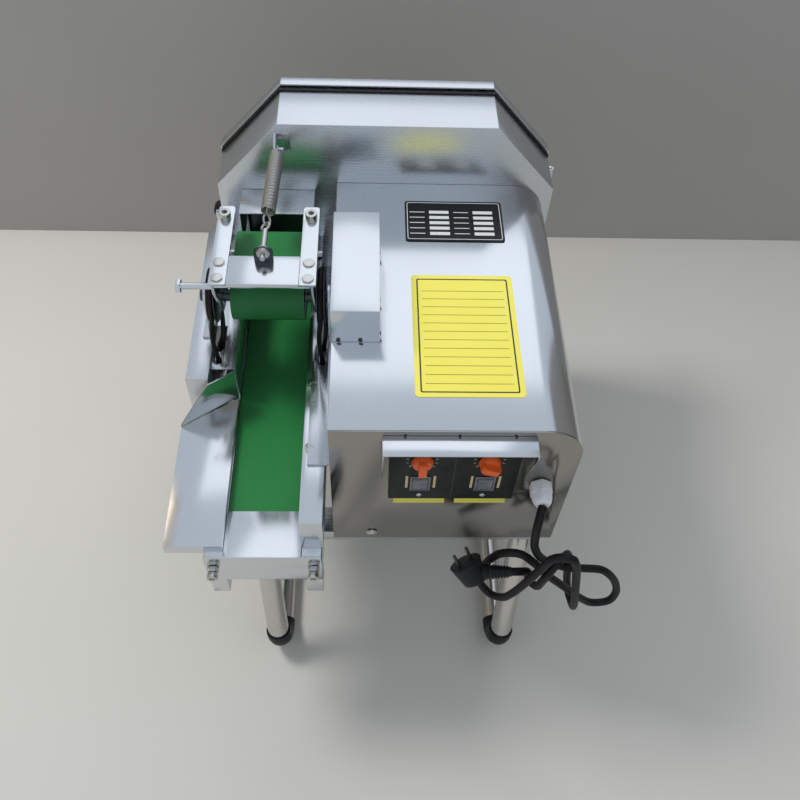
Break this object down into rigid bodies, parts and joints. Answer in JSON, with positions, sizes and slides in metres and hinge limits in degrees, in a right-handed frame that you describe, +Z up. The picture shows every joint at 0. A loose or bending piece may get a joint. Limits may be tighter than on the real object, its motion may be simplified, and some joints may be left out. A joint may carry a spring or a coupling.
{
  "type": "vegetable cutter",
  "caption": "Table-top vegetable cutter: feed belt under a sprung press belt, blade disc in an octagonal housing with hinged lid, motor cabinet with speed controls, on sled legs",
  "frame": {"origin": "on the surface it stands on, under the middle of the machine without its cord", "axes": "+X towards the machine's right as seen from the feeding end, +Y from the feeding end towards the cutter housing, +Z up"},
  "size_m": [0.4738, 0.49, 0.4934],
  "materials": {
    "brushed_steel": "brushed",
    "polished_steel": "polished",
    "green_belt": "smooth satin PVC",
    "black_rubber": "matte",
    "black_plastic": "satin",
    "orange_plastic": "satin",
    "grey_plastic": "satin",
    "white_plastic": "satin",
    "motor_paint": "satin"
  },
  "bodies": {
    "machine": {"base_plate": "brushed_steel", "belt_bed": "brushed_steel", "body_cover": "brushed_steel", "cable_gland": "white_plastic", "control_hood": "brushed_steel", "control_panel": "black_plastic", "conveyor_belt": "green_belt", "conveyor_side_left": "brushed_steel", "conveyor_side_right": "brushed_steel", "cross_bar_front": "brushed_steel", "cross_bar_rear": "brushed_steel", "crossed_belt_left": "black_rubber", "crossed_belt_right": "black_rubber", "cutter_bearing": "motor_paint", "cutter_housing": "brushed_steel", "cutter_motor": "motor_paint", "drive_cover": "brushed_steel", "drive_guard": "brushed_steel", "feed_chain": "polished_steel", "feed_gearmotor": "motor_paint", "feed_table": "brushed_steel", "front_cover": "brushed_steel", "front_panel": "brushed_steel", "guide_plate": "brushed_steel", "leg_left": "brushed_steel", "leg_right": "brushed_steel", "lid_hinge_1": "brushed_steel", "lid_hinge_2": "brushed_steel", "mouth_hood": "brushed_steel", "pivot_bracket_left": "brushed_steel", "power_cord": "black_rubber", "power_plug": "black_plastic", "rail_bracket": "brushed_steel", "side_rail": "brushed_steel", "side_shelf": "brushed_steel", "spring_anchor": "brushed_steel", "tension_bolt_left": "polished_steel", "tension_bolt_right": "polished_steel", "tension_spring": "polished_steel"},
    "cutter": {"cutter_shaft": "polished_steel", "blade_disc": "brushed_steel", "blade_1": "polished_steel", "blade_2": "polished_steel"},
    "lid": {"housing_lid": "brushed_steel"},
    "lid_screw": {"lid_hand_screw": "black_plastic"},
    "feed_drive": {"feed_shaft": "polished_steel"},
    "idler": {"idler_shaft": "polished_steel"},
    "feed_drive_roller": {"drive_roller": "polished_steel"},
    "feed_front_roller": {"front_roller": "polished_steel"},
    "press_frame": {"press_arm_left": "brushed_steel", "press_arm_right": "brushed_steel", "press_cross_plate": "brushed_steel", "press_belt": "green_belt", "eye_bolt": "polished_steel"},
    "press_front": {"press_front_roller": "polished_steel"},
    "press_rear": {"press_rear_roller": "polished_steel"},
    "speed_knob_1": {"speed_knob_1": "orange_plastic"},
    "speed_knob_2": {"speed_knob_2": "orange_plastic"},
    "rocker_switch_1": {"rocker_switch_1": "grey_plastic"},
    "rocker_switch_2": {"rocker_switch_2": "grey_plastic"}
  },
  "joints": [
    {"name": "cutter_spin", "type": "hinge", "parent": "machine", "child": "cutter", "pos_m": [0.007, 0.17145, 0.304], "axis": [0, 1, 0], "continuous": true},
    {"name": "lid_swing", "type": "hinge", "parent": "machine", "child": "lid", "pos_m": [0.2019, 0.22225, 0.304], "axis": [0, 0, -1], "range_deg": [0, 120]},
    {"name": "lid_screw_turn", "type": "hinge", "parent": "lid", "child": "lid_screw", "pos_m": [-0.1954, 0.22255, 0.304], "axis": [0, 1, 0], "continuous": true},
    {"name": "feed_drive_turn", "type": "hinge", "parent": "machine", "child": "feed_drive", "pos_m": [-0.0597, -0.01855, 0.322], "axis": [-1, 0, 0], "continuous": true},
    {"name": "idler_turn", "type": "hinge", "parent": "machine", "child": "idler", "pos_m": [-0.1677, -0.01855, 0.322], "axis": [-1, 0, 0], "continuous": true},
    {"name": "drive_roller_turn", "type": "hinge", "parent": "machine", "child": "feed_drive_roller", "pos_m": [-0.1128, 0.13145, 0.266], "axis": [-1, 0, 0], "continuous": true},
    {"name": "front_roller_turn", "type": "hinge", "parent": "machine", "child": "feed_front_roller", "pos_m": [-0.1128, -0.20655, 0.266], "axis": [-1, 0, 0], "continuous": true},
    {"name": "press_swing", "type": "hinge", "parent": "machine", "child": "press_frame", "pos_m": [-0.1128, 0.00645, 0.395], "axis": [1, 0, 0], "range_deg": [-10, 20], "stiffness_Nm_per_rad": 6, "springref_deg": -14.32, "deforming": ["tension_spring"]},
    {"name": "press_front_turn", "type": "hinge", "parent": "press_frame", "child": "press_front", "pos_m": [-0.1128, 0.00645, 0.395], "axis": [-1, 0, 0], "continuous": true},
    {"name": "press_rear_turn", "type": "hinge", "parent": "press_frame", "child": "press_rear", "pos_m": [-0.1128, 0.06445, 0.395], "axis": [-1, 0, 0], "continuous": true},
    {"name": "speed_knob_1_turn", "type": "hinge", "parent": "machine", "child": "speed_knob_1", "pos_m": [0.0378, -0.17705, 0.3738], "axis": [0, 1, 0], "range_deg": [-140, 140]},
    {"name": "speed_knob_2_turn", "type": "hinge", "parent": "machine", "child": "speed_knob_2", "pos_m": [0.0998, -0.17705, 0.3738], "axis": [0, 1, 0], "range_deg": [-140, 140]},
    {"name": "rocker_switch_1_press", "type": "hinge", "parent": "machine", "child": "rocker_switch_1", "pos_m": [0.0378, -0.17505, 0.3335], "axis": [-1, 0, 0], "range_deg": [0, 14]},
    {"name": "rocker_switch_2_press", "type": "hinge", "parent": "machine", "child": "rocker_switch_2", "pos_m": [0.0998, -0.17505, 0.3335], "axis": [-1, 0, 0], "range_deg": [0, 14]}
  ],
  "couplings": [
    {"joint": "idler_turn", "follows": "feed_drive_turn", "ratio": 1},
    {"joint": "drive_roller_turn", "follows": "feed_drive_turn", "ratio": 1},
    {"joint": "front_roller_turn", "follows": "feed_drive_turn", "ratio": 1},
    {"joint": "press_front_turn", "follows": "feed_drive_turn", "ratio": -0.44444},
    {"joint": "press_rear_turn", "follows": "feed_drive_turn", "ratio": -0.44444}
  ]
}
